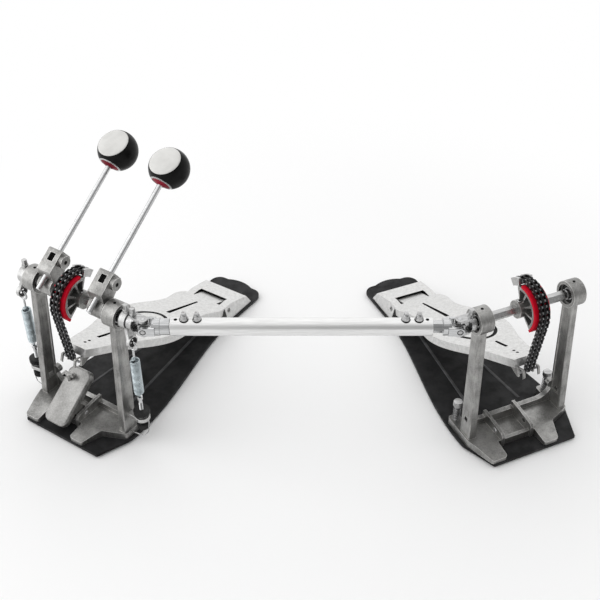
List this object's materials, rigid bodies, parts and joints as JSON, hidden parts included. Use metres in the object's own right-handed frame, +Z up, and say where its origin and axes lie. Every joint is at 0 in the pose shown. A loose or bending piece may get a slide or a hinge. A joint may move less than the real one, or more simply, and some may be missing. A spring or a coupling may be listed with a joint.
{
  "type": "double bass drum pedal",
  "caption": "Double bass drum pedal: chain-driven primary pedal with hoop clamp and beaters, joined by a telescopic universal-jointed drive bar to a slave pedal.",
  "frame": {"origin": "floor level under the centre of the bounding box", "axes": "+X along the drive bar from the primary to the slave pedal, +Y from the drum towards the heels, +Z up"},
  "size_m": [0.6584, 0.364, 0.3087],
  "materials": {
    "cast_aluminium": "as-cast, bead-blasted grey alloy",
    "polished_alloy": "polished cast alloy",
    "black_plate": "satin black powder coat",
    "rubber": "ribbed black rubber",
    "bright_steel": "bright plated steel",
    "steel": "turned steel",
    "chain_black": "black oxide steel",
    "red_cushion": "red polymer",
    "beater_black": "black moulded plastic and felt",
    "beater_white": "white moulded plastic",
    "tube_silver": "bright anodised tube",
    "black_knob": "black moulded plastic"
  },
  "bodies": {
    "primary_frame": {"primary_base_plate": "black_plate", "primary_base_pads": "rubber", "primary_pedestal": "cast_aluminium", "primary_heel_plate": "polished_alloy", "primary_bearings": "steel", "primary_hinge_pins": "steel", "spring_brackets": "cast_aluminium"},
    "primary_footboard": {"primary_footboard": "polished_alloy", "primary_toe_clip": "steel"},
    "primary_shaft": {"primary_hex_shaft": "steel", "primary_cam": "cast_aluminium", "primary_cam_cushion": "red_cushion", "primary_chain_wrap": "chain_black", "primary_beater_hub": "cast_aluminium", "left_rocker": "cast_aluminium"},
    "primary_upper_run": {"primary_chain_upper": "chain_black"},
    "primary_lower_run": {"primary_chain_lower": "chain_black"},
    "primary_tail": {"primary_chain_tail": "chain_black"},
    "primary_beater": {"primary_beater_rod": "bright_steel", "primary_beater_head": "beater_black", "primary_beater_face": "beater_white"},
    "left_spring_rod": {"left_spring_rod": "steel", "left_spring": "bright_steel"},
    "left_spring_hook": {"left_spring_hook": "bright_steel"},
    "left_tension_knob": {"left_tension_knob": "black_knob"},
    "slave_frame": {"slave_base_plate": "black_plate", "slave_base_pads": "rubber", "slave_pedestal": "cast_aluminium", "slave_heel_plate": "polished_alloy", "slave_bearings": "steel", "slave_hinge_pin": "steel"},
    "slave_footboard": {"slave_footboard": "polished_alloy", "slave_toe_clip": "steel"},
    "slave_shaft": {"slave_hex_shaft": "steel", "slave_cam": "cast_aluminium", "slave_cam_cushion": "red_cushion", "slave_chain_wrap": "chain_black"},
    "slave_upper_run": {"slave_chain_upper": "chain_black"},
    "slave_lower_run": {"slave_chain_lower": "chain_black"},
    "slave_tail": {"slave_chain_tail": "chain_black"},
    "slave_cross": {"slave_joint_cross": "steel"},
    "slave_bar": {"slave_drive_bar": "steel", "link_tube": "tube_silver", "tube_key_bolts": "bright_steel"},
    "primary_bar": {"primary_drive_bar": "steel"},
    "primary_cross": {"primary_joint_cross": "steel"},
    "second_shaft": {"secondary_sleeve": "steel", "secondary_beater_hub": "cast_aluminium", "right_rocker": "cast_aluminium"},
    "second_beater": {"secondary_beater_rod": "bright_steel", "secondary_beater_head": "beater_black", "secondary_beater_face": "beater_white"},
    "right_spring_rod": {"right_spring_rod": "steel", "right_spring": "bright_steel"},
    "right_spring_hook": {"right_spring_hook": "bright_steel"},
    "right_tension_knob": {"right_tension_knob": "black_knob"},
    "hoop_lever": {"hoop_lever": "cast_aluminium"},
    "clamp_screw": {"clamp_screw": "steel"},
    "left_spur": {"left_spur_screw": "steel"},
    "right_spur": {"right_spur_screw": "steel"}
  },
  "joints": [
    {"name": "primary_press", "type": "hinge", "parent": "primary_frame", "child": "primary_footboard", "pos_m": [-0.1217, 0.10518, 0.019], "axis": [0.8387, -0.5446, 0], "range_deg": [0, 7], "stiffness_Nm_per_rad": 12, "springref_deg": -6.88},
    {"name": "primary_shaft_turn", "type": "hinge", "parent": "primary_frame", "child": "primary_shaft", "pos_m": [-0.24588, -0.08604, 0.175], "axis": [0.8387, -0.5446, 0], "range_deg": [0, 56.01]},
    {"name": "primary_upper_bend", "type": "hinge", "parent": "primary_shaft", "child": "primary_upper_run", "pos_m": [-0.25546, -0.10081, 0.20136], "axis": [0.8387, -0.5446, 0], "range_deg": [-15.96, 0]},
    {"name": "primary_lower_bend", "type": "hinge", "parent": "primary_upper_run", "child": "primary_lower_run", "pos_m": [-0.2619, -0.11072, 0.18679], "axis": [0.8387, -0.5446, 0], "range_deg": [-33.81, 0]},
    {"name": "primary_tail_bend", "type": "hinge", "parent": "primary_lower_run", "child": "primary_tail", "pos_m": [-0.26279, -0.11208, 0.16807], "axis": [0.8387, -0.5446, 0], "range_deg": [-10.93, 0]},
    {"name": "primary_beater_slide", "type": "slide", "parent": "primary_shaft", "child": "primary_beater", "axis": [0.4461, 0.687, 0.5736], "range_m": [-0.01, 0.015]},
    {"name": "left_spring_tilt", "type": "hinge", "parent": "primary_frame", "child": "left_spring_rod", "pos_m": [-0.31959, -0.04532, 0.038], "axis": [0.8387, -0.5446, 0], "range_deg": [-10.91, 0]},
    {"name": "left_spring_draw", "type": "slide", "parent": "left_spring_rod", "child": "left_spring_hook", "axis": [0, 0, 1], "range_m": [0, 0.005], "deforming": ["left_spring"]},
    {"name": "left_knob_turn", "type": "hinge", "parent": "left_spring_rod", "child": "left_tension_knob", "pos_m": [-0.31959, -0.04532, 0.038], "axis": [0, 0, 1], "continuous": true},
    {"name": "slave_distance", "type": "slide", "parent": "primary_frame", "child": "slave_frame", "axis": [1, 0, 0], "range_m": [0, 0.12]},
    {"name": "slave_press", "type": "hinge", "parent": "slave_frame", "child": "slave_footboard", "pos_m": [0.16004, 0.10367, 0.019], "axis": [0.9121, 0.4099, 0], "range_deg": [0, 7], "stiffness_Nm_per_rad": 12, "springref_deg": -6.88},
    {"name": "slave_shaft_turn", "type": "hinge", "parent": "slave_frame", "child": "slave_shaft", "pos_m": [0.25351, -0.1043, 0.175], "axis": [0.9121, 0.4099, 0], "range_deg": [0, 56.01]},
    {"name": "slave_upper_bend", "type": "hinge", "parent": "slave_shaft", "child": "slave_upper_run", "pos_m": [0.26072, -0.12035, 0.20136], "axis": [0.9121, 0.4099, 0], "range_deg": [-15.96, 0]},
    {"name": "slave_lower_bend", "type": "hinge", "parent": "slave_upper_run", "child": "slave_lower_run", "pos_m": [0.26557, -0.13114, 0.18679], "axis": [0.9121, 0.4099, 0], "range_deg": [-33.81, 0]},
    {"name": "slave_tail_bend", "type": "hinge", "parent": "slave_lower_run", "child": "slave_tail", "pos_m": [0.26623, -0.13262, 0.16807], "axis": [0.9121, 0.4099, 0], "range_deg": [-10.93, 0]},
    {"name": "slave_cross_turn", "type": "hinge", "parent": "slave_shaft", "child": "slave_cross", "pos_m": [0.17415, -0.13996, 0.175], "axis": [0, 0, 1], "range_deg": [0, 9.91]},
    {"name": "tube_turn", "type": "hinge", "parent": "slave_frame", "child": "slave_bar", "pos_m": [0.17415, -0.13996, 0.175], "axis": [1, 0, 0], "range_deg": [0, 53.44]},
    {"name": "primary_bar_turn", "type": "hinge", "parent": "primary_frame", "child": "primary_bar", "pos_m": [-0.16285, -0.13996, 0.175], "axis": [1, 0, 0], "range_deg": [0, 53.44]},
    {"name": "second_shaft_turn", "type": "hinge", "parent": "primary_frame", "child": "second_shaft", "pos_m": [-0.24588, -0.08604, 0.175], "axis": [0.8387, -0.5446, 0], "range_deg": [0, 58.28]},
    {"name": "primary_cross_turn", "type": "hinge", "parent": "second_shaft", "child": "primary_cross", "pos_m": [-0.16285, -0.13996, 0.175], "axis": [0, 0, 1], "range_deg": [-13.86, 0]},
    {"name": "second_beater_slide", "type": "slide", "parent": "second_shaft", "child": "second_beater", "axis": [0.4461, 0.687, 0.5736], "range_m": [-0.01, 0.015]},
    {"name": "right_spring_tilt", "type": "hinge", "parent": "primary_frame", "child": "right_spring_rod", "pos_m": [-0.1787, -0.13682, 0.038], "axis": [0.8387, -0.5446, 0], "range_deg": [-11.12, 0]},
    {"name": "right_spring_draw", "type": "slide", "parent": "right_spring_rod", "child": "right_spring_hook", "axis": [0, 0, 1], "range_m": [0, 0.00551], "deforming": ["right_spring"]},
    {"name": "right_knob_turn", "type": "hinge", "parent": "right_spring_rod", "child": "right_tension_knob", "pos_m": [-0.1787, -0.13682, 0.038], "axis": [0, 0, 1], "continuous": true},
    {"name": "hoop_lever_rock", "type": "hinge", "parent": "primary_frame", "child": "hoop_lever", "pos_m": [-0.25895, -0.10617, 0.019], "axis": [0.8387, -0.5446, 0], "range_deg": [0, 6]},
    {"name": "clamp_screw_run", "type": "slide", "parent": "hoop_lever", "child": "clamp_screw", "axis": [0, 0, 1], "range_m": [-0.00107, 0]},
    {"name": "left_spur_screw_run", "type": "slide", "parent": "slave_frame", "child": "left_spur", "axis": [0, 0, 1], "range_m": [0, 0.012]},
    {"name": "right_spur_screw_run", "type": "slide", "parent": "slave_frame", "child": "right_spur", "axis": [0, 0, 1], "range_m": [0, 0.012]}
  ],
  "couplings": [
    {"joint": "primary_shaft_turn", "follows": "primary_press", "ratio": 7.8445},
    {"joint": "primary_upper_bend", "follows": "primary_press", "ratio": -2.2346},
    {"joint": "primary_lower_bend", "follows": "primary_press", "ratio": -4.7358},
    {"joint": "primary_tail_bend", "follows": "primary_press", "ratio": -1.5311},
    {"joint": "left_spring_tilt", "follows": "primary_press", "ratio": -1.5286},
    {"joint": "left_spring_draw", "follows": "primary_press", "m_per_rad": 0.040107},
    {"joint": "slave_shaft_turn", "follows": "slave_press", "ratio": 7.8445},
    {"joint": "slave_upper_bend", "follows": "slave_press", "ratio": -2.2346},
    {"joint": "slave_lower_bend", "follows": "slave_press", "ratio": -4.7358},
    {"joint": "slave_tail_bend", "follows": "slave_press", "ratio": -1.5311},
    {"joint": "slave_cross_turn", "follows": "slave_press", "ratio": 1.3878},
    {"joint": "tube_turn", "follows": "slave_press", "ratio": 7.4853},
    {"joint": "primary_bar_turn", "follows": "slave_press", "ratio": 7.4853},
    {"joint": "second_shaft_turn", "follows": "slave_press", "ratio": 8.1629},
    {"joint": "primary_cross_turn", "follows": "slave_press", "ratio": -1.9414},
    {"joint": "right_spring_tilt", "follows": "slave_press", "ratio": -1.5571},
    {"joint": "right_spring_draw", "follows": "slave_press", "m_per_rad": 0.0442},
    {"joint": "clamp_screw_run", "follows": "hoop_lever_rock", "m_per_rad": -0.009982}
  ]
}
